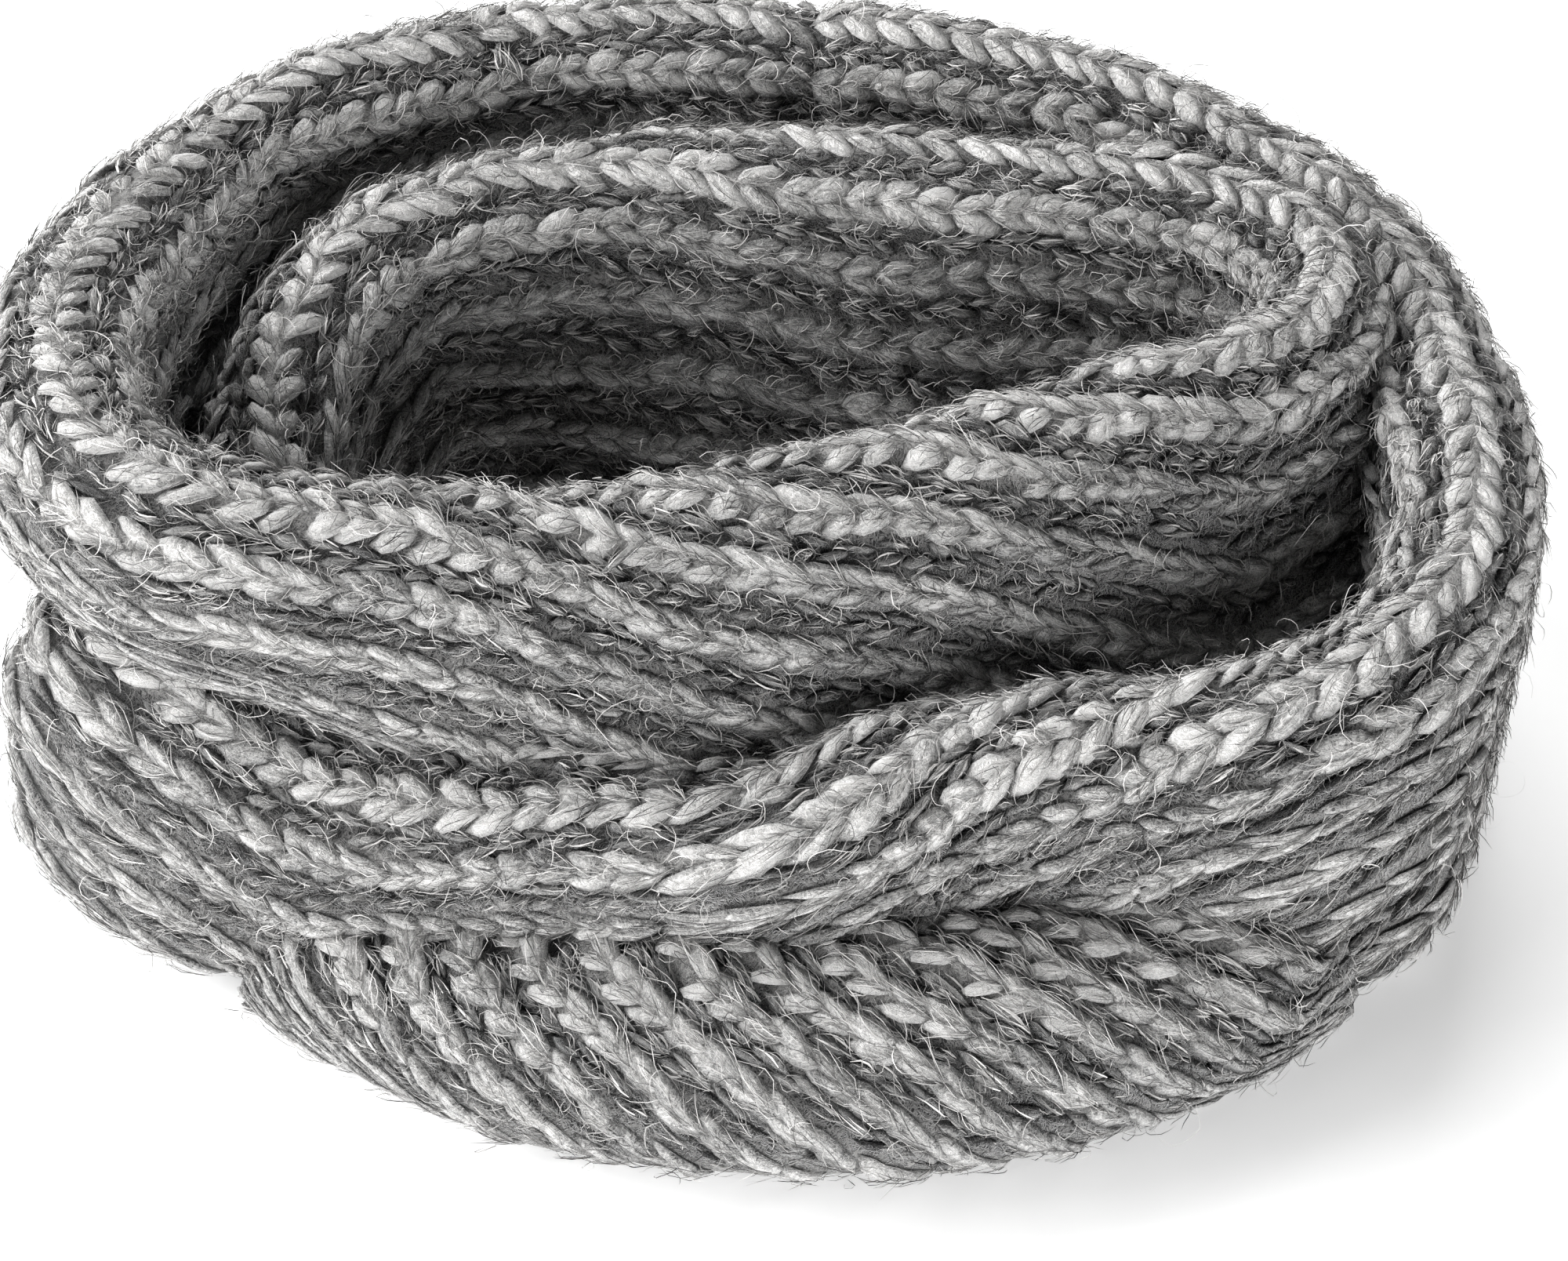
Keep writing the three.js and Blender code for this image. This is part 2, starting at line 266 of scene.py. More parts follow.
# Creases of the front fold, with painted shade in the troughs and painted light on the ridge.
FOLD_CREASES = (
    (24.0, 11.2, 24, 6.5, 30, 1.7, 0.07),
    (46.0, 9.4, 30, 7.0, 22, -1.3, -0.05),
    (66.0, 7.2, 22, 6.0, -28, 1.8, 0.07),
    (84.0, 5.4, 18, 6.0, 35, 1.4, 0.05),
)


def creased(table, row, rib):
    """How deep the creases of a table are at a grid row and a rib, and how much painted shade they
    put on its colour.
    """
    depth, painted_shade = 0.0, 0.0
    for at_row, at_rib, length, width, slant, deep, dark in table:
        along = (row - at_row) * ROW_STEP
        across = ((rib - at_rib + RIB_COUNT / 2) % RIB_COUNT - RIB_COUNT / 2) * RIB_PITCH
        turn = math.radians(slant)
        line = along * math.cos(turn) + across * math.sin(turn)
        aside = across * math.cos(turn) - along * math.sin(turn)
        # Each crease wanders a little and is deeper at one end.
        aside = aside + 0.12 * width * np.sin(line * 0.21 + at_row)
        reach = np.exp(-((line / length) ** 2) - (aside / width) ** 2)
        reach = reach * (1 + 0.35 * np.tanh(line / length))
        depth = depth + deep * reach
        # The last column paints shade into the colour, and paints light where it is below zero.
        painted_shade = painted_shade + dark * reach
    return depth, painted_shade


# How many places are kept along each stitch, and within how many ribs the ridge fades.
STITCH_STEPS = 4
RIDGE_FADE = 1.2


class Surface:
    """The plain surface of a run of the band, as a grid of rows along it and ribs across."""

    def __init__(self, table, closed, creases):
        values = np.array(table, float)
        values[:, 0] -= FRAME_MIDDLE[0]
        values[:, 1] -= FRAME_MIDDLE[1]
        self.closed = closed
        spans = len(values) if closed else len(values) - 1
        fine = np.linspace(0, spans, spans * TABLE_STEPS + 1)
        if closed:
            fine = fine[:-1]
        ridge = catmull(values, closed, fine)[:, :2]
        ahead = np.roll(ridge, -1, 0) if closed else np.vstack([ridge[1:], ridge[-1:]])
        walked = walk(np.linalg.norm(ahead - ridge, axis=1))
        if closed:
            fine = np.concatenate([fine, [spans]])
        else:
            walked = walked[:-1]
        self.count = int(round(walked[-1] / ROW_STEP)) + (0 if closed else 1)
        wanted = np.linspace(0, walked[-1], self.count, endpoint=not closed)
        self.u = np.interp(wanted, walked, fine)
        sections = catmull(values, closed, self.u)
        if closed:
            after = self.u + AHEAD_STEP
            before = (self.u - AHEAD_STEP) % spans
        else:
            after = np.clip(self.u + AHEAD_STEP, 0, spans)
            before = np.clip(self.u - AHEAD_STEP, 0, None)
        heading = catmull(values, closed, after)[:, :2] - catmull(values, closed, before)[:, :2]
        heading /= np.linalg.norm(heading, axis=1)[:, None]
        self.roll = sections[:, COLUMNS.index("roll")]
        ribs = np.arange(RIB_COUNT * RIB_STEPS) / RIB_STEPS
        shape = (self.count, len(ribs))
        self.points = np.zeros(shape + (3,))
        self.normals = np.zeros(shape + (3,))
        self.room = np.zeros(shape)
        self.from_ridge = np.zeros(shape)
        for k, (x, y, out, bottom, top, thick, roll) in enumerate(sections):
            half_tall = (top - bottom + FLOOR_PRESS) / 2
            loop = outline(thick / 2, half_tall, -out / (top - bottom))
            closed_loop = np.vstack([loop, loop[:1]])
            along = walk(np.linalg.norm(np.diff(closed_loop, axis=0), axis=1))
            around = along[-1]
            q = (ribs - roll + RIB_COUNT / 2) % RIB_COUNT - RIB_COUNT / 2
            self.from_ridge[k] = np.abs(q)
            spread_ribs = q + RIDGE_SPREAD * q * np.exp(-((q / RIDGE_SPREAD_RIBS) ** 2))
            distance, room = tucked(spread_ribs, around)

            def on_loop(place):
                place = place % around
                return np.stack([np.interp(place, along, line) for line in closed_loop.T], 1)

            place = on_loop(distance)
            slope = on_loop(distance + SLOPE_REACH) - on_loop(distance - SLOPE_REACH)
            normal = np.stack([-slope[:, 1], slope[:, 0]], 1)
            normal /= np.linalg.norm(normal, axis=1)[:, None]
            side = np.array([heading[k, 1], -heading[k, 0]])
            middle = (top + bottom - FLOOR_PRESS) / 2
            self.points[k, :, :2] = (x, y) + side * place[:, :1]
            self.points[k, :, 2] = middle + place[:, 1]
            self.normals[k, :, :2] = side * normal[:, :1]
            self.normals[k, :, 2] = normal[:, 1]
            self.room[k] = room
        grid_rows, grid_ribs = np.meshgrid(np.arange(self.count), ribs, indexing="ij")
        swell = waves(SWELL_WAVES, grid_rows, grid_ribs) * np.minimum(1, self.room)
        depth, _ = creased(creases, grid_rows, grid_ribs)
        swell = swell - depth * np.minimum(1, self.room)
        self.points += self.normals * swell[..., None]
        self.creases = creases
        self.lay_rows()

    def lay_rows(self):
        """Spaces the rows of stitches by the length that the ribs really run."""
        after = np.roll(self.points, -1, 0) if self.closed else self.points[1:]
        before = self.points if self.closed else self.points[:-1]
        steps = np.linalg.norm(after - before, axis=2)
        walked = walk(np.median(steps, axis=1))
        run = walked[-1]
        self.stitches = int(round(run / STITCH_LENGTH))
        wanted = np.linspace(0, run, self.stitches * STITCH_STEPS + 1)
        self.stitch_row = np.interp(wanted, walked, np.arange(len(walked)))

    def near_ridge(self, stitch, rib):
        """How near a place is to the ridge: 1 on it, falling to 0 over two ribs."""
        row = np.round(self.row_of(stitch)).astype(int) % self.count
        column = np.round(rib * RIB_STEPS).astype(int) % (RIB_COUNT * RIB_STEPS)
        return np.exp(-((self.from_ridge[row, column] / RIDGE_FADE) ** 2))

    def painted_shade(self, row, rib):
        """How much painted shade the creases put on the colour at a grid row and a rib."""
        return creased(self.creases, row, rib)[1]

    def row_of(self, stitch):
        """The grid row of a place counted in stitches."""
        place = stitch % self.stitches if self.closed else np.clip(stitch, 0, self.stitches)
        steps = np.arange(len(self.stitch_row))
        return np.interp(place * STITCH_STEPS, steps, self.stitch_row)

    def read(self, row, rib):
        """(point, normal, room) at a grid row and a rib, both with fractions."""
        # Each rib wanders a little to its side.
        rib = rib + waves(SIDE_WAVES, row, rib)
        row = row % self.count if self.closed else np.clip(row, 0, self.count - 1)
        width = RIB_COUNT * RIB_STEPS
        column = (rib * RIB_STEPS) % width
        i = np.floor(row).astype(int)
        j = np.floor(column).astype(int)
        a = (row - i)[..., None]
        b = (column - j)[..., None]
        i2 = (i + 1) % self.count if self.closed else np.minimum(i + 1, self.count - 1)
        i = i % self.count
        j2 = (j + 1) % width
        j = j % width

        def mix(grid):
            low = grid[i, j] * (1 - a) + grid[i2, j] * a
            high = grid[i, j2] * (1 - a) + grid[i2, j2] * a
            return low * (1 - b) + high * b

        return mix(self.points), unit(mix(self.normals)), mix(self.room[..., None])[..., 0]


loop_table = [row for rows in LOOP.values() for row in rows]
loop_surface = Surface(loop_table, True, LOOP_CREASES)
fold_surface = Surface(LOWER_FOLD, False, FOLD_CREASES)

# The grid rows that each stretch runs between.
STRETCHES = {}
first = 0
for name, rows in LOOP.items():
    ends = np.interp(
        [first, first + len(rows)],
        np.append(loop_surface.u, len(loop_table)),
        np.arange(loop_surface.count + 1),
    )
    STRETCHES[name] = (loop_surface, ends[0], ends[1])
    first += len(rows)
STRETCHES["front_fold"] = (fold_surface, 0.0, float(fold_surface.count - 1))


# Where stretches press on each other, the first of each row gives way to the others.
GIVES_WAY = {
    "inner_loop": ("outer_right", "outer_left", "front_over"),
    "front_under": ("front_over", "outer_left"),
    "front_over": ("outer_right",),
    "front_fold": ("front_under", "front_over", "outer_right"),
}


def rib_rise(rib):
    """Height of the knit over its plain surface, over a rib's crown at 0 and its valley at half."""
    return RIB_RELIEF / 2 * np.cos(2 * math.pi * rib)


def coarse_points(name, row_step, rib_steps):
    """Points of a stretch's plain surface, and how many lie round the band."""
    surface, low, high = STRETCHES[name]
    rows = np.arange(math.floor(low), math.ceil(high) + 1, row_step)
    ribs = np.arange(RIB_COUNT * rib_steps) / rib_steps
    grid_rows, grid_ribs = np.meshgrid(rows, ribs, indexing="ij")
    return surface.read(grid_rows, grid_ribs)[0].reshape(-1, 3), len(ribs)


def coarse_faces(start, count, width):
    """The faces between the points of a stretch, whose first point has the number start."""
    faces = []
    for first in range(start, start + count - width, width):
        last = first + width
        for j in range(width):
            k = (j + 1) % width
            faces.append((first + j, last + j, last + k, first + k))
    return faces


def tree_of(name):
    """A search tree of a stretch's plain surface, closed at both ends."""
    points, width = coarse_points(name, 2.0, 4)
    faces = coarse_faces(0, len(points), width)
    end = len(points) - width
    faces.append(tuple(range(width)))
    faces.append(tuple(end + j for j in reversed(range(width))))
    return BVHTree.FromPolygons([Vector(p) for p in points], faces)


def box_of(name):
    """The least and the greatest corner of a stretch's plain surface."""
    points, _ = coarse_points(name, 1.0, 4)
    return points.min(0), points.max(0)


TREES = {name: tree_of(name) for name in STRETCHES}
STRETCH_BOX = {name: box_of(name) for name in STRETCHES}
# How far beyond its box, and from its surface, a stretch is looked for.
BOX_MARGIN = 4
SEARCH_REACH = 30.0
# A depth that stands for no stretch near.
FAR_OUTSIDE = -1e3


def depth_inside_others(name, points):
    """How deep each point lies inside the stretches that this one gives way to."""
    deepest = np.full(len(points), FAR_OUTSIDE)
    for other in GIVES_WAY.get(name, ()):
        tree = TREES[other]
        least, greatest = STRETCH_BOX[other]
        within = (points > least - BOX_MARGIN) & (points < greatest + BOX_MARGIN)
        for i in np.flatnonzero(within.all(1)):
            place, normal, _, distance = tree.find_nearest(Vector(points[i]), SEARCH_REACH)
            if place is None:
                continue
            side = (Vector(points[i]) - place).dot(normal)
            depth = distance if side > 0 else -distance
            deepest[i] = max(deepest[i], depth)
    return deepest


# Ways out from the cloth, as rise off the surface and turn round it, that are tested for light.
WAYS_OUT = [(rise, turn) for rise in (25, 55) for turn in range(0, 360, 90)]
# Where each way begins and how far it goes.
START_OUT = 3.0
REACH_OUT = 160.0
# A way that falls more than this, from less than this height, meets the floor.
DOWNWARD = -0.1
NEAR_FLOOR = 12


def whole_tree():
    """A search tree of all the stretches together."""
    corners = []
    faces = []
    for name in STRETCHES:
        points, width = coarse_points(name, 3.0, 2)
        faces.extend(coarse_faces(len(corners), len(points), width))
        corners.extend(Vector(p) for p in points)
    return BVHTree.FromPolygons(corners, faces)


WHOLE = whole_tree()


def openness(points, normals, ways):
    """How much of the room outside each point is open, from 0 to 1."""
    result = np.zeros(len(points))
    across = np.cross(normals, ways)
    begin = points + normals * START_OUT
    for rise, turn in WAYS_OUT:
        up, round_up = math.radians(rise), math.radians(turn)
        flat = ways * math.cos(round_up) + across * math.sin(round_up)
        out = normals * math.sin(up) + flat * math.cos(up)
        for i in range(len(points)):
            if out[i, 2] < DOWNWARD and begin[i, 2] < NEAR_FLOOR:
                continue
            if WHOLE.ray_cast(Vector(begin[i]), Vector(out[i]), REACH_OUT)[0] is None:
                result[i] += 1 / len(WAYS_OUT)
    return result


def seen_share(open_share):
    """The share of fibres that are worth laying where so much of the room outside is open."""
    return np.clip(0.12 + 1.4 * open_share, 0, 1)


def mesh_object(name, vertices, faces, uv, tone, material):
    """A mesh from arrays: vertices in millimetres, triangles or quads, and per-vertex values."""
    mesh = bpy.data.meshes.new(name)
    corners = faces.shape[1]
    mesh.vertices.add(len(vertices))
    mesh.vertices.foreach_set("co", (vertices * MM).astype(np.float32).ravel())
    mesh.loops.add(faces.size)
    mesh.loops.foreach_set("vertex_index", faces.astype(np.int32).ravel())
    mesh.polygons.add(len(faces))
    mesh.polygons.foreach_set("loop_start", np.arange(len(faces), dtype=np.int32) * corners)
    mesh.polygons.foreach_set("loop_total", np.full(len(faces), corners, dtype=np.int32))
    mesh.update(calc_edges=True)
    if uv is not None:
        layer = mesh.uv_layers.new(name="UVMap")
        layer.data.foreach_set("uv", uv[faces.ravel()].astype(np.float32).ravel())
    attribute = mesh.attributes.new("tone", "FLOAT", "POINT")
    attribute.data.foreach_set("value", tone.astype(np.float32))
    mesh.polygons.foreach_set("use_smooth", np.ones(len(faces), dtype=bool))
    mesh.materials.append(material)
    obj = bpy.data.objects.new(name, mesh)
    bpy.context.scene.collection.objects.link(obj)
    return obj


def set_inputs(node, values):
    """Sets the inputs of a shader node by their names."""
    for key, value in values.items():
        node.inputs[key].default_value = value


def node_tree(name):
    """A new material with its shader and a function that adds a node to it."""
    material = bpy.data.materials.new(name)
    material.use_nodes = True
    tree = material.node_tree
    shader = tree.nodes["Principled BSDF"]

    def add(kind, **inputs):
        node = tree.nodes.new(kind)
        for key, value in inputs.items():
            if key in node.inputs:
                node.inputs[key].default_value = value
            else:
                setattr(node, key, value)
        return node

    return material, tree.links, shader, add


def spread(add, links, value, low, high):
    """Stretches the middle of a value's range to run from 0 to 1."""
    node = add("ShaderNodeMapRange")
    set_inputs(node, {"From Min": low, "From Max": high})
    links.new(value, node.inputs["Value"])
    return node.outputs["Result"]


def maths(add, links, operation, *values):
    """The result of a sum on shader values and plain numbers."""
    node = add("ShaderNodeMath", operation=operation)
    for value, place in zip(values, node.inputs):
        if isinstance(value, float):
            place.default_value = value
        else:
            links.new(value, place)
    return node.outputs["Value"]


def total(add, links, terms, start):
    """A sum of shader values, each with its weight."""
    value = start
    for output, weight in terms:
        value = maths(add, links, "MULTIPLY_ADD", output, weight, value)
    return value


# Curly fibres drawn on the wool: how fine and how close their lines lie, how wide, and where.
TANGLE_COLUMNS = ("scale", "levels", "width", "start")
TANGLE = (
    (300.0, 9.0, 0.26, 0.3),
    (480.0, 7.0, 0.26, 1.7),
    (700.0, 6.0, 0.24, 4.1),
)


# How many felted patches lie in a metre.
PATCH_SCALE = 330.0


def tangle(add, links, place):
    """A mask of fine curly fibres: the level lines of soft noises, the nearest on top."""
    result = None
    for scale, levels, width, start in TANGLE:
        shift = add("ShaderNodeMapping")
        set_inputs(shift, {"Location": (start, -start, 2 * start)})
        links.new(place.outputs["Object"], shift.inputs["Vector"])
        noise = add("ShaderNodeTexNoise", Scale=scale, Detail=1.0, Distortion=0.5)
        links.new(shift.outputs["Vector"], noise.inputs["Vector"])
        level = maths(add, links, "MULTIPLY", noise.outputs["Fac"], levels)
        away = maths(add, links, "PINGPONG", level, 0.5)
        mask = spread(add, links, away, width, 0.0)
        result = mask if result is None else maths(add, links, "MAXIMUM", result, mask)
    return result


def two_colours(add, links, shader, value, low, high):
    """Colours a shader by a value, from a dark grey at 0 to a colour at 1."""
    ramp = add("ShaderNodeValToRGB")
    ramp.color_ramp.elements[0].color = (low, low, low, 1)
    ramp.color_ramp.elements[1].color = (*high, 1)
    links.new(value, ramp.inputs["Fac"])
    links.new(ramp.outputs["Color"], shader.inputs["Base Color"])


def wool(name, low, high, place_by, scale, tilt, streak, tangle_share, patch):
    """Brushed wool: fine streaks along each strand from a dark grey to a colour, in a tangle."""
    material, links, shader, add = node_tree(name)
    set_inputs(shader, {"Roughness": 0.9, "Specular IOR Level": 0.15})
    set_inputs(shader, {"Sheen Weight": 0.7, "Sheen Roughness": 0.45})
    place = add("ShaderNodeTexCoord")
    stretch = add("ShaderNodeMapping")
    set_inputs(stretch, {"Scale": scale, "Rotation": (0, 0, tilt)})
    links.new(place.outputs[place_by], stretch.inputs["Vector"])
    strand = add("ShaderNodeTexNoise", Scale=1.0, Detail=5.0, Roughness=0.7, Distortion=0.4)
    links.new(stretch.outputs["Vector"], strand.inputs["Vector"])
    tone = add("ShaderNodeAttribute", attribute_name="tone")
    fine = spread(add, links, strand.outputs["Fac"], 0.36, 0.64)
    curls = tangle(add, links, place)
    # Felted patches, some pale and some dark, blur the outlines of the strands.
    felt = add("ShaderNodeTexNoise", Scale=PATCH_SCALE, Detail=3.0, Roughness=0.65, Distortion=0.8)
    links.new(place.outputs["Object"], felt.inputs["Vector"])
    patches = spread(add, links, felt.outputs["Fac"], 0.33, 0.67)
    terms = ((fine, streak), (curls, tangle_share), (patches, patch), (tone.outputs["Fac"], 1.0))
    value = total(add, links, terms, -0.5 * (streak + tangle_share + patch))
    two_colours(add, links, shader, value, low, high)
    relief = add("ShaderNodeBump")
    set_inputs(relief, {"Strength": 0.9, "Distance": 0.5 * MM})
    links.new(total(add, links, ((fine, 0.5), (curls, 0.7)), 0.0), relief.inputs["Height"])
    links.new(relief.outputs["Normal"], shader.inputs["Normal"])
    return material


def hair_wool(name, low, high):
    """Plain wool of single hairs, each between a dark grey and a colour."""
    material, links, shader, add = node_tree(name)
    set_inputs(shader, {"Roughness": 0.6, "Specular IOR Level": 0.3})
    tone = add("ShaderNodeAttribute", attribute_name="tone")
    two_colours(add, links, shader, tone.outputs["Fac"], low, high)
    return material


# The kinds of wool: its darkest grey and palest colour, how its fine streaks are placed, scaled
# and turned, and how strongly streaks, tangle and felted patches show.
WOOL_COLUMNS = ("name", "low", "high", "place_by", "scale", "tilt", "streak", "tangle", "patch")
WOOLS = (
    ("light_wool", 0.015, (0.95, 0.935, 0.92), "UV", (1.5, 22, 1), 0.3, 0.45, 0.45, 0.45),
    ("dark_wool", 0.01, (0.56, 0.55, 0.54), "UV", (1.6, 12, 1), 0.5, 0.5, 0.4, 0.3),
    ("heather_wool", 0.01, (0.5, 0.49, 0.48), "Object", (900, 900, 900), 0, 0.25, 0.5, 0.2),
)
LIGHT, DARK, HEATHER = (wool(*wool_row) for wool_row in WOOLS)
HAIR = hair_wool("wool_hair", 0.02, (0.76, 0.745, 0.73))

# The open long edges at the foot: how far they stand apart and turn up between the layers.
EDGE_GAP = 1.2
EDGE_UP = 6.0
# How finely the ground is laid: points across it, and mm between two rows.
CLOTH_POINTS = 51
CLOTH_ROW = 3.2
# How much of a rib is left between the two long edges, at each of them.
EDGE_RIBS = 0.02
# How wide the gathered ends of the front fold stay, as a share.
GATHERED = 0.15
# How far the ground lies under the stitches, and how deep in other stretches it is left out.
CLOTH_SINK = 0.9
BURIED = 3.0
# The least heights of the ground, the yarn and the hairs over the floor.
CLOTH_FLOOR = 0.4
YARN_FLOOR = 0.15
HAIR_FLOOR = 0.25


def cloth_sheet(name):
    """The knitted ground of a stretch, folded over its rim and open along the foot."""
    surface, low, high = STRETCHES[name]
    rows = np.linspace(low, high, int((high - low) * ROW_STEP / CLOTH_ROW) + 2)
    if not surface.closed:
        # One more row at each open end, which is drawn together below.
        rows = np.concatenate([[low], rows, [high]])
    q = np.linspace(-RIB_COUNT / 2, RIB_COUNT / 2, CLOTH_POINTS)
    q[0] += EDGE_RIBS
    q[-1] -= EDGE_RIBS
    roll = np.interp(rows, np.arange(surface.count), surface.roll)
    grid_rows = np.repeat(rows[:, None], CLOTH_POINTS, 1)
    ribs = q[None, :] + roll[:, None]
    points, normals, room = surface.read(grid_rows, ribs)
    rise = (rib_rise(ribs) - CLOTH_SINK) * np.minimum(1, room)
    points = points + normals * rise[..., None]
    points[..., 2] = np.maximum(points[..., 2], CLOTH_FLOOR)
    across = points[:, 1] - points[:, -2]
    across[:, 2] = 0
    across = unit(across)
    lift = np.array([0, 0, EDGE_UP])
    first_edge = points[:, 0] + across * EDGE_GAP / 2
    last_edge = points[:, -1] - across * EDGE_GAP / 2
    points = np.concatenate(
        [
            (first_edge + lift)[:, None],
            first_edge[:, None],
            points[:, 1:-1],
            last_edge[:, None],
            (last_edge + lift)[:, None],
        ],
        1,
    )
    if not surface.closed:
        for end in (0, -1):
            middle = points[end].mean(0)
            points[end] = middle + (points[end] - middle) * GATHERED
    count, width = points.shape[:2]
    i, j = np.meshgrid(np.arange(count - 1), np.arange(width - 1), indexing="ij")
    a = (i * width + j).ravel()
    faces = np.stack([a, a + width, a + width + 1, a + 1], 1)
    vertices = points.reshape(-1, 3)
    buried = depth_inside_others(name, vertices) > BURIED
    faces = faces[~buried[faces].all(1)]
    used, back = np.unique(faces, return_inverse=True)
    faces = back.reshape(faces.shape)
    v, u = np.meshgrid(np.linspace(0, 1, width), rows / surface.count, indexing="xy")
    uv = np.stack([u.ravel(), v.ravel()], 1)[used]
    # The ground is pale under the crowns and dark between them, and it takes the creases' painted
    # shade.
    tone = 0.28 + 0.4 * np.cos(2 * math.pi * ribs) - surface.painted_shade(grid_rows, ribs)
    tone = np.concatenate([tone[:, :1], tone, tone[:, -1:]], 1).ravel()[used]
    obj = mesh_object(name + "_cloth", vertices[used], faces, uv, tone, HEATHER)
    area = sum(p.area for p in obj.data.polygons)
    run = (high - low) * ROW_STEP * MM
    return obj, area, run


def spindle(rings, sides):
    """Places along and round a strand of yarn, its thickness there, and its triangles."""
    along = np.linspace(0, 1, rings + 2)
    fat = np.sin(math.pi * along) ** 0.6
    round_angle = np.arange(sides) * 2 * math.pi / sides + math.pi / 2
    faces = []
    for i in range(rings - 1):
        for j in range(sides):
            k = (j + 1) % sides
            a = 1 + i * sides
            b = a + sides
            faces.append((a + j, b + j, b + k))
            faces.append((a + j, b + k, a + k))
    last = 1 + rings * sides
    for j in range(sides):
        k = (j + 1) % sides
        faces.append((0, 1 + j, 1 + k))
        faces.append((last - sides + j, last, last - sides + k))
    return along, fat, round_angle, np.array(faces)


def yarn_line(surface, legs, path):
    """The middle of each leg of yarn along its path, its side and outward ways, and its room."""
    row = surface.row_of(legs["stitch"][:, None] - legs["reach"][:, None] * path)
    bow = np.sin(path * math.pi / 2) * 0.4 + path * 0.6
    points, normals, room = surface.read(row, legs["rib"][:, None] + legs["across"][:, None] * bow)
    room = np.minimum(1, room)
    seat = np.reshape(legs["seat"], (-1, 1))
    seat = rib_rise(seat + legs["across"][:, None] * bow * 0.6)
    arch = legs["arch"][:, None] * (np.sin(path * math.pi) ** 0.7 - 1)
    centre = points + normals * ((seat + legs["lift"][:, None] + arch) * room)[..., None]
    ahead = unit(np.gradient(centre, axis=1))
    return centre, unit(np.cross(normals, ahead)), normals, room


# The underside of the scarf lies lower than this, and faces down more than this.
UNDERSIDE_HEIGHT = 5.0
UNDERSIDE_TILT = -0.6


def clear_of_others(name, surface, legs):
    """The legs of yarn that no other stretch covers."""
    path = np.tile([0.3, 0.5, 0.7], (len(legs["stitch"]), 1))
    centre, _, normals, room = yarn_line(surface, legs, path)
    middle = centre[:, 1]
    keep = depth_inside_others(name, middle) < legs["thick"] / 2
    # What the scarf stands on is left plain.
    keep &= (middle[:, 2] > UNDERSIDE_HEIGHT) | (normals[:, 1, 2] > UNDERSIDE_TILT)
    legs["room"] = room[:, 1]
    # The legs take the painted shade of the creases too.
    legs["tone"] = legs["tone"] - surface.painted_shade(surface.row_of(legs["stitch"] - 0.6), legs["rib"])
    legs["open"] = np.zeros(len(middle))
    ways = unit(centre[:, 2] - centre[:, 0])
    legs["open"][keep] = openness(middle[keep], normals[keep, 1], ways[keep])
    return {key: value[keep] if np.ndim(value) else value for key, value in legs.items()}


# How uneven the sides of a strand are, in mm.
LUMPS = 0.13
# The rings along a strand and the sides round it.
LIGHT_SHAPE = (3, 4)
DARK_SHAPE = (2, 3)


def strands(name, kind, surface, legs, shape, material):
    """Soft strands of yarn that lie on the knit, one to each leg."""
    rings, sides = shape
    along, fat, angle, faces = spindle(rings, sides)
    count = len(legs["stitch"])
    centre, side, normals, room = yarn_line(surface, legs, np.tile(along, (count, 1)))
    wide = (fat * legs["thick"][:, None] / 2 * room)[..., None, None]
    tall = (fat * legs["height"][:, None] / 2 * room)[..., None, None]
    ring = side[:, :, None] * wide * np.cos(angle)[:, None]
    ring = ring + normals[:, :, None] * tall * np.sin(angle)[:, None] + centre[:, :, None]
    body = ring[:, 1:-1].reshape(count, -1, 3)
    body = body + rng.normal(0, LUMPS, body.shape)
    vertices = np.concatenate([centre[:, :1], body, centre[:, -1:]], 1)
    vertices[..., 2] = np.maximum(vertices[..., 2], YARN_FLOOR)
    u = np.concatenate([[0], np.repeat(along[1:-1], sides), [1]])
    v = np.concatenate([[0.5], np.tile(np.arange(sides) / sides, rings), [0.5]])
    offsets = rng.uniform(0, 40, (count, 2))
    uv = np.stack([u + offsets[:, :1], v + offsets[:, 1:]], 2)
    # Each strand is painted palest on top of its middle and darker at its ends and underside:
    # painted light where it faces out and painted shade where the others cover it.
    painted_light_share = np.concatenate([[0], (fat[1:-1, None] * np.sin(angle)).ravel(), [0]])
    tone = legs["tone"][:, None] + legs["painted_light_and_shade"] * (painted_light_share - 0.5)
    all_faces = faces[None] + (np.arange(count) * vertices.shape[1])[:, None, None]
    return mesh_object(
        f"{name}_{kind}",
        vertices.reshape(-1, 3),
        all_faces.reshape(-1, 3),
        uv.reshape(-1, 2),
        tone.ravel(),
        material,
    )


def stitch_places(name):
    """The stitches of a stretch with each rib and each side of it, one entry to a leg."""
    surface, low, high = STRETCHES[name]
    rows = surface.row_of(np.arange(surface.stitches, dtype=float))
    stitches = np.flatnonzero((rows >= low) & (rows < high)).astype(float)
    grids = np.meshgrid(stitches, np.arange(RIB_COUNT, dtype=float), (-1.0, 1.0), indexing="ij")
    return [grid.ravel() for grid in grids]


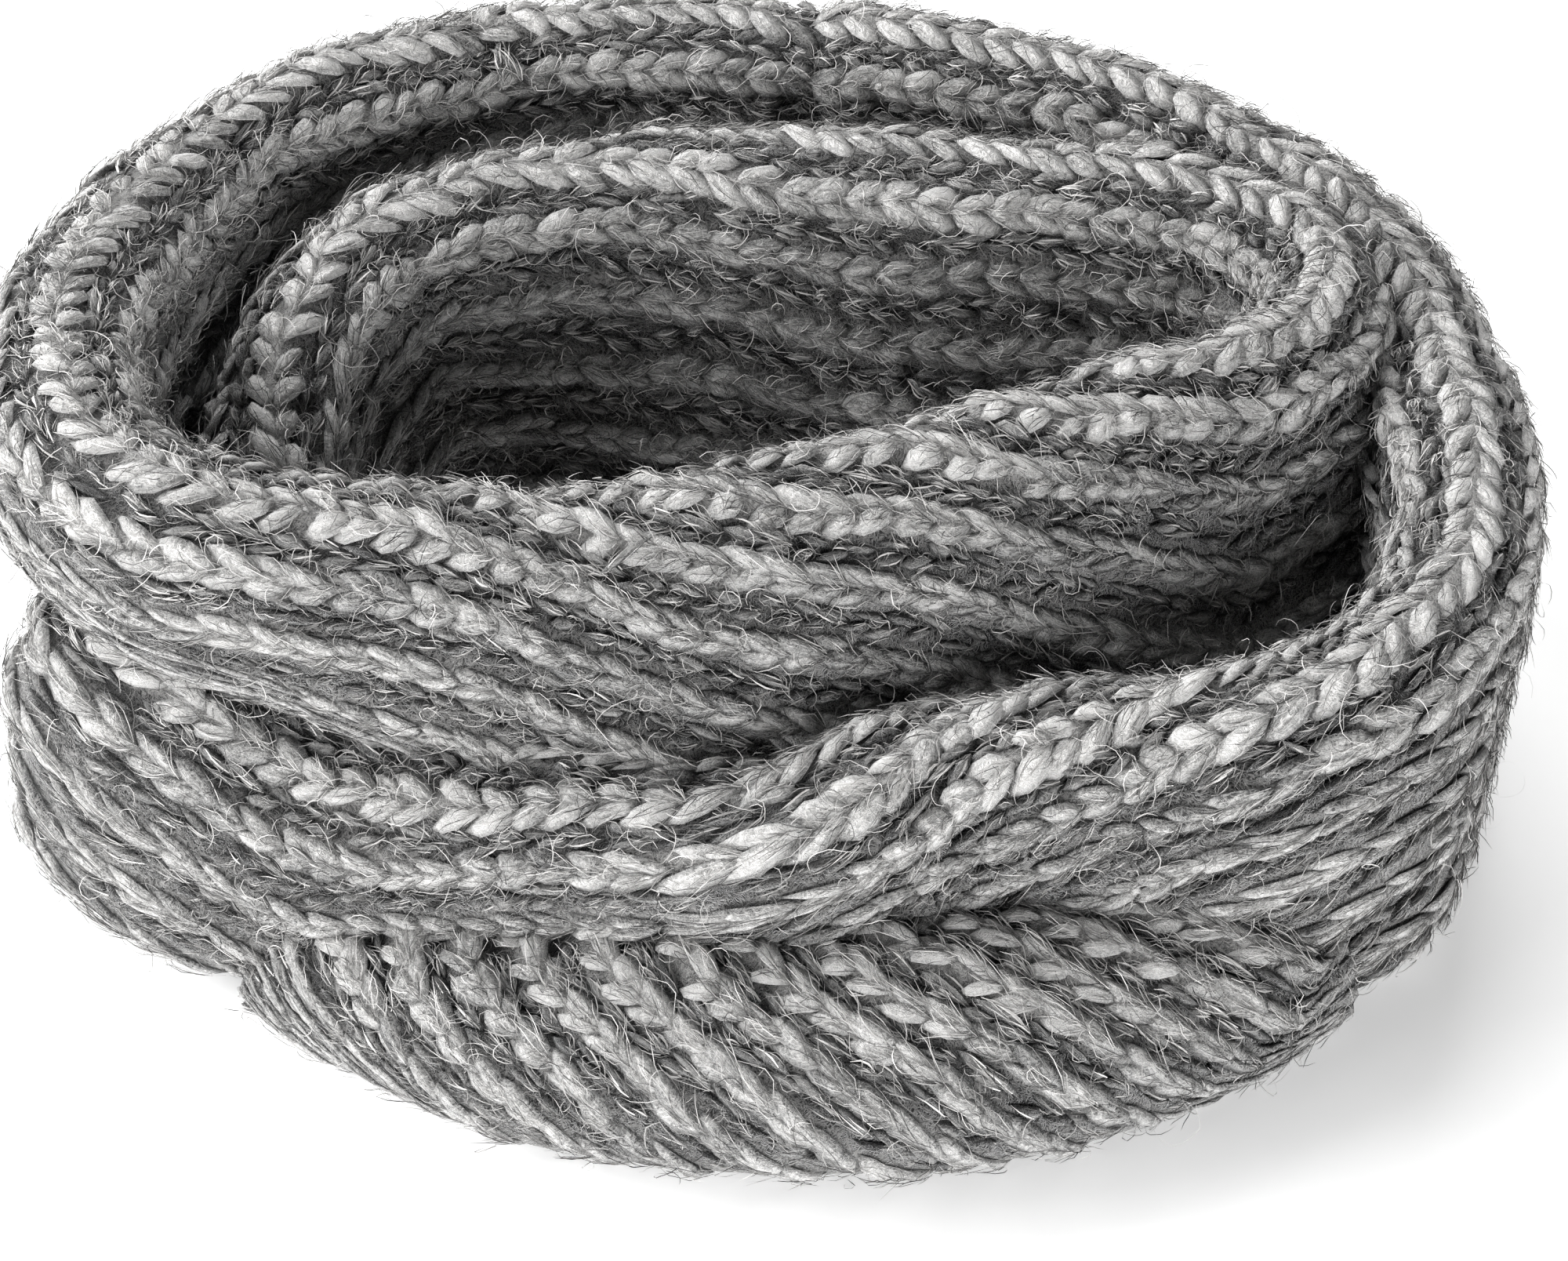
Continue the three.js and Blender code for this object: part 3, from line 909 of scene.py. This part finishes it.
def light_legs(name):
    """The light columns: two soft legs to a stitch, laid like feathers over each crown."""
    surface = STRETCHES[name][0]
    stitch, rib, side = stitch_places(name)
    count = len(stitch)
    column_tone = rng.normal(0, 0.05, RIB_COUNT)[rib.astype(int)]
    ridge = surface.near_ridge(stitch, rib)
    mottle = waves(TONE_WAVES, surface.row_of(stitch), rib)
    legs = {
        "stitch": stitch + rng.normal(0, 0.08, count) + 0.5,
        "rib": rib - side * 0.04 + rng.normal(0, 0.015, count),
        "seat": 0.0,
        "reach": 1.62 - 0.15 * ridge + rng.normal(0, 0.12, count),
        "across": side * (0.2 + 0.16 * ridge + rng.normal(0, 0.025, count)),
        "thick": (4.0 + 0.9 * ridge) * rng.uniform(0.75, 1.2, count),
        "height": 2.5 * rng.uniform(0.8, 1.2, count),
        "lift": -0.75 + rng.normal(0, 0.3, count),
        "arch": np.full(count, 0.9),
        # Legs near the ridge are painted paler: a painted highlight on the top of the band, where
        # the light from above falls.
        "tone": 0.52 + 0.42 * ridge + column_tone + mottle + rng.normal(0, 0.13, count),
        # How strongly each strand's top is painted pale and its ends and underside painted dark.
        "painted_light_and_shade": 0.4,
    }
    return clear_of_others(name, surface, legs)


def dark_legs(name):
    """The dark columns: thinner marled legs, laid deeper between the crowns."""
    surface = STRETCHES[name][0]
    stitch, rib, side = stitch_places(name)
    count = len(stitch)
    legs = {
        "stitch": stitch + rng.normal(0, 0.15, count) + 0.55 + (side > 0) * 0.5,
        "rib": rib + 0.5 + side * 0.03 + rng.normal(0, 0.02, count),
        "seat": 0.5,
        "reach": 1.15 + rng.normal(0, 0.15, count),
        "across": side * (0.13 + rng.normal(0, 0.03, count)),
        "thick": 2.8 * rng.uniform(0.7, 1.25, count),
        "height": 2.4 * rng.uniform(0.8, 1.2, count),
        "lift": 0.9 + rng.normal(0, 0.45, count),
        "arch": np.full(count, 1.0),
        "tone": 0.27 + rng.normal(0, 0.22, count),
        # How strongly each strand's top is painted pale and its ends and underside painted dark.
        "painted_light_and_shade": 0.35,
    }
    return laid_strands(name, clear_of_others(name, surface, legs))


# Strands laid on the knit, listed one by one: the stretch, grid row and rib where each begins, how
# far it runs in rows and ribs, thickness, lift off the knit in mm, and tone.
LAID_COLUMNS = ("stretch", "row", "rib", "rows", "ribs", "thick", "lift", "tone")
LAID = (
    ("front_over", 278.5, 14.7, 6.5, -0.85, 1.9, 3.4, 0.62),
    ("outer_left", 137.0, 14.0, 2.5, 0.75, 2.2, 3.0, 0.6),
    ("outer_left", 139.5, 14.1, -1.5, 0.7, 2.0, 3.2, 0.5),
    ("front_under", 543.0, 12.9, 4.0, 0.1, 2.4, 2.6, 0.8),
    ("front_under", 548.0, 12.7, 4.5, 0.15, 2.4, 2.6, 0.85),
    ("front_under", 630.0, 0.4, 2.5, 0.5, 2.0, 3.0, 0.5),
)
# The cross stitches of the joining seam: the stretch and row, and how many ribs lie between two.
SEAM_STRETCH, SEAM_ROW, SEAM_PITCH = "outer_left", 105.5, 0.36


def laid_strands(name, legs):
    """The legs with the listed strands and the stitches of the joining seam put to them."""
    surface = STRETCHES[name][0]
    rows = [row[1:] for row in LAID if row[0] == name]
    if name == SEAM_STRETCH:
        for k in range(int(RIB_COUNT / SEAM_PITCH)):
            # Every third stitch of the seam is pale.
            pale = 0.65 if k % 3 == 0 else 0.15
            rows.append((SEAM_ROW - 1.0, k * SEAM_PITCH, 2.8, 0.22, 1.9, 2.6, pale))
    if not rows:
        return legs
    row, rib, run, aside, thick, lift, tone = np.array(rows, float).T
    steps = np.arange(len(surface.stitch_row))
    stitch = np.interp(row, surface.stitch_row, steps) / STITCH_STEPS
    more = {
        "stitch": stitch,
        "rib": rib,
        "seat": rib,
        "reach": -run * ROW_STEP / STITCH_LENGTH,
        "across": aside,
        "thick": thick,
        "height": thick * 0.85,
        "lift": lift,
        "arch": np.full(len(rib), 1.2),
        "tone": tone,
        "painted_light_and_shade": legs["painted_light_and_shade"],
    }
    more = clear_of_others(name, surface, more)
    both = dict(legs)
    for key, value in more.items():
        if key != "painted_light_and_shade":
            own = np.broadcast_to(legs[key], legs["stitch"].shape)
            both[key] = np.concatenate([own, value])
    return both


def ribbons(path, ways, axis, width, twist):
    """Vertices and quads of thin ribbons along the given paths."""
    count, places = path.shape[:2]
    turn = twist[:, None] + np.linspace(0, 1.6, places)
    flat = np.cross(ways, axis)
    wide = flat * np.cos(turn)[..., None] + axis * np.sin(turn)[..., None]
    taper = np.interp(np.linspace(0, 1, places), (0, 0.15, 0.7, 1), (0.5, 1, 0.9, 0.3))
    half = wide * (width / 2 * taper)[None, :, None]
    vertices = np.stack([path - half, path + half], axis=2).reshape(-1, 3)
    strip = np.array([(2 * i, 2 * i + 1, 2 * i + 3, 2 * i + 2) for i in range(places - 1)])
    own = np.arange(count)[:, None, None] * (2 * places)
    return vertices, (strip[None] + own).reshape(-1, 4)


def hair_tones(count, brightness, dark_limit, dark_share, pieces):
    """A tone for each vertex of thin ribbons, of which a share is dark and the others pale."""
    pale = np.clip(rng.normal(brightness, 0.2, count), 0, 1)
    dark = rng.uniform(0.0, dark_limit, count)
    tone = np.where(rng.uniform(0, 1, count) < dark_share, dark, pale)
    return np.repeat(tone, 2 * (pieces + 1))


def leg_fibres(surface, legs, each, pieces, width, fray, dark_share, brightness):
    """Fine fibres that run along each leg of yarn and fray out of it at their tips."""
    share = np.clip(legs["room"] * 1.4 - 0.4, 0.15, 1) * seen_share(legs["open"])
    count = rng.poisson(each * share)
    which = np.repeat(np.arange(len(legs["stitch"])), count)
    own = {key: value[which] if np.ndim(value) else value for key, value in legs.items()}
    count = len(which)
    begin = rng.uniform(0.0, 0.4, count)
    end = begin + rng.uniform(0.35, 0.6, count)
    along = np.linspace(0, 1, pieces + 1)
    path = begin[:, None] + (end - begin)[:, None] * along
    centre, side, normals, room = yarn_line(surface, own, path)
    fat = np.sin(math.pi * np.clip(path, 0, 1)) ** 0.6
    angle = rng.uniform(0.1, 0.9, count)[:, None] * math.pi
    wide = fat * own["thick"][:, None] / 2 * room * np.cos(angle)
    tall = fat * own["height"][:, None] / 2 * room * np.sin(angle)
    loose = along**1.5
    way = rng.normal(0, fray, count)[:, None] * loose
    rise = np.abs(rng.normal(0, 0.6 * fray, count))[:, None] * loose + 0.12
    # Each fibre bows to one side of the leg and wanders a little.
    bow = rng.normal(0, 0.6 * fray, count)[:, None] * np.sin(np.linspace(0, math.pi, pieces + 1))
    wobble = rng.normal(0, 0.06 * fray, (2, count, pieces + 1))
    line = centre + side * (wide + way + bow + wobble[0])[..., None]
    line = line + normals * (tall + rise + wobble[1])[..., None]
    line[..., 2] = np.maximum(line[..., 2], HAIR_FLOOR)
    ways = unit(np.gradient(line, axis=1))
    axis = unit(np.cross(ways, side))
    vertices, faces = ribbons(line, ways, axis, width, rng.uniform(-0.8, 0.8, count))
    return vertices, faces, hair_tones(count, brightness, 0.22, dark_share, pieces)


# Kinds of hair: how many on each square centimetre, shortest and longest, least and most radius
# of the curl, most rise off the knit, width, pieces in each, and how far it strays from the ribs.
HAIR_COLUMNS = ("density", "short", "long", "tight", "loose", "rise", "width", "pieces", "stray")
HAIRS = (
    (12.2, 5.0, 11.0, 1.3, 3.4, 0.22, 0.19, 6, 1.6),
    (0.5, 14.0, 30.0, 2.2, 6.0, 0.7, 0.15, 14, 3.0),
)
# The share of the loose hairs that are dark.
DARK_HAIR_SHARE = 0.33
# Fibres on each light and dark leg of yarn: how many, pieces, width, fraying, the share of dark
# ones, and how bright the others are.
FIBRE_COLUMNS = ("each", "pieces", "width", "fray", "dark_share", "brightness")
LIGHT_FIBRES = (13, 3, 0.17, 1.8, 0.45, 0.6)
DARK_FIBRES = (7, 4, 0.15, 1.7, 0.4, 0.55)
# Pale strands of the marled yarn, that lie in the dark columns as short dashes.
DASHES = (2.0, 3, 0.36, 0.4, 0.1, 0.68)


def loose_hairs(name, area_mm2, kind):
    """Fine curly hairs of the brushed wool, that start in the stitches and rise a little."""
    surface, low, high = STRETCHES[name]
    density, short, long, tight, loose, rise, width, pieces, stray = kind
    count = int(area_mm2 / 100 * density)
    row = rng.uniform(low, high, count)
    rib = rng.uniform(0, RIB_COUNT, count)
    points, normals, room = surface.read(row, rib)
    beyond, _, _ = surface.read(row + 1, rib)
    begin = points + normals * (rib_rise(rib) * room + rng.uniform(-0.2, 1.0, count))[:, None]
    keep = (depth_inside_others(name, begin) < 0.3) & (begin[:, 2] > 0.8)
    keep &= rng.uniform(0, 1, count) < room
    begin, normals = begin[keep], normals[keep]
    run = unit(beyond - points)[keep]
    seen = rng.uniform(0, 1, len(begin)) < seen_share(openness(begin, normals, run))
    begin, normals, run = begin[seen], normals[seen], run[seen]
    count = len(begin)
    length = rng.uniform(short, long, count)
    radius = rng.uniform(tight, loose, count) * rng.choice((-1, 1), count)
    heading = rng.normal(0, stray, count) + rng.choice((0, math.pi), count)
    across = np.cross(normals, run)
    ahead = run * np.cos(heading)[:, None] + across * np.sin(heading)[:, None]
    ahead = unit(ahead + normals * rng.uniform(-0.15, rise, count)[:, None])
    axis = normals + rng.normal(0, 0.4, (count, 3))
    axis = unit(axis - ahead * (axis * ahead).sum(1)[:, None])
    bend = length / pieces / radius
    place = begin.copy()
    path = [place]
    ways = [ahead]
    axes = [axis]
    for _ in range(pieces):
        turn = bend * rng.uniform(0.3, 1.7, count)
        ahead = ahead * np.cos(turn)[:, None] + np.cross(axis, ahead) * np.sin(turn)[:, None]
        ahead = unit(ahead + axis * rng.normal(0, 0.12, count)[:, None])
        axis = unit(axis - ahead * (axis * ahead).sum(1)[:, None])
        place = place + ahead * (length / pieces)[:, None]
        path.append(place)
        ways.append(ahead)
        axes.append(axis)
    path = np.stack(path, 1)
    path[..., 2] = np.maximum(path[..., 2], HAIR_FLOOR)
    twist = rng.uniform(0, 2 * math.pi, count)
    vertices, faces = ribbons(path, np.stack(ways, 1), np.stack(axes, 1), width, twist)
    return vertices, faces, hair_tones(count, 0.62, 0.25, DARK_HAIR_SHARE, pieces)


def joined(name, parts, material):
    """One mesh object from several lots of (vertices, triangles, tone)."""
    starts = np.cumsum([0] + [len(part[0]) for part in parts[:-1]])
    faces = np.vstack([part[1] + begin for part, begin in zip(parts, starts)])
    vertices = np.vstack([part[0] for part in parts])
    tone = np.concatenate([part[2] for part in parts])
    return mesh_object(name, vertices, faces, None, tone, material)


for name in STRETCHES:
    cloth, area, run = cloth_sheet(name)
    surface = STRETCHES[name][0]
    light, dark = light_legs(name), dark_legs(name)
    yarn_fibres = [
        leg_fibres(surface, light, *LIGHT_FIBRES),
        leg_fibres(surface, dark, *DARK_FIBRES),
        leg_fibres(surface, dark, *DASHES),
    ]
    hair = [loose_hairs(name, area / MM**2, kind) for kind in HAIRS]
    pieces = [
        cloth,
        strands(name, "light_yarn", surface, light, LIGHT_SHAPE, LIGHT),
        strands(name, "dark_yarn", surface, dark, DARK_SHAPE, DARK),
        joined(name + "_fibres", yarn_fibres, HAIR),
        joined(name + "_hair", hair, HAIR),
    ]
    for piece in pieces:
        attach(piece, "root")
    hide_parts(name)

# The plain pale floor that the scarf stands on.
bpy.ops.mesh.primitive_plane_add(size=12, location=(0, 0, -0.0002))
floor = bpy.context.object
floor.name = "floor"
paper, _, paper_shader, _ = node_tree("paper")
set_inputs(paper_shader, {"Base Color": (0.96, 0.96, 0.96, 1), "Roughness": 0.9})
set_inputs(paper_shader, {"Emission Color": (1, 1, 1, 1), "Emission Strength": 0.28})
floor.data.materials.append(paper)

# Camera: the photograph looks down at the front at about 40 degrees from about a metre away.
EYE_ELEVATION = math.radians(40)
EYE_DISTANCE = 1000.0
FOCAL_PIXELS = 6452.0
PHOTO_SIZE = (2000, 1608)
# Where the origin of the section tables lies in the photograph, in pixels.
ORIGIN_PIXEL = (985, 930)
SENSOR = 36.0

back = Vector((0, -math.cos(EYE_ELEVATION), math.sin(EYE_ELEVATION)))
right = Vector((1, 0, 0))
up = back.cross(right)
eye = Vector((-FRAME_MIDDLE[0], -FRAME_MIDDLE[1], 0)) + back * EYE_DISTANCE
middle_ray = (
    -back
    + right * (PHOTO_SIZE[0] / 2 - ORIGIN_PIXEL[0]) / FOCAL_PIXELS
    + up * (ORIGIN_PIXEL[1] - PHOTO_SIZE[1] / 2) / FOCAL_PIXELS
)
camera_data = bpy.data.cameras.new("camera")
camera_data.sensor_width = SENSOR
camera_data.lens = FOCAL_PIXELS * SENSOR / PHOTO_SIZE[0]
camera_data.clip_end = 50
camera = bpy.data.objects.new("camera", camera_data)
camera.location = eye * MM
camera.rotation_euler = middle_ray.to_track_quat("-Z", "Y").to_euler()
bpy.context.scene.collection.objects.link(camera)
bpy.context.scene.camera = camera


def soft_light(name, place, size, power):
    """A square soft light that looks at the scarf."""
    data = bpy.data.lights.new(name, "AREA")
    data.size = size
    data.energy = power
    light = bpy.data.objects.new(name, data)
    light.location = place
    light.rotation_euler = (-Vector(place)).to_track_quat("-Z", "Y").to_euler()
    bpy.context.scene.collection.objects.link(light)


# The front light stands low and the others on the left and behind, so that the hollow in the
# middle stays dark. Places and sizes are in metres, and powers in watts.
LIGHT_COLUMNS = ("name", "place", "size", "power")
LIGHTS = (
    ("front", (0.42, -1.40, 0.29), 0.8, 22),
    ("left", (-1.22, -0.71, 0.48), 0.8, 14),
    ("side", (-1.30, 0.00, 0.75), 0.8, 20),
    ("behind_left", (-0.87, 0.61, 1.06), 0.8, 15),
    ("behind", (0.10, 1.10, 1.02), 0.8, 17),
)
for light_row in LIGHTS:
    soft_light(*light_row)

world = bpy.data.worlds.new("studio")
world.use_nodes = True
set_inputs(world.node_tree.nodes["Background"], {"Color": (1, 1, 1, 1), "Strength": 0.02})
bpy.context.scene.world = world
bpy.context.scene.view_settings.view_transform = "Standard"
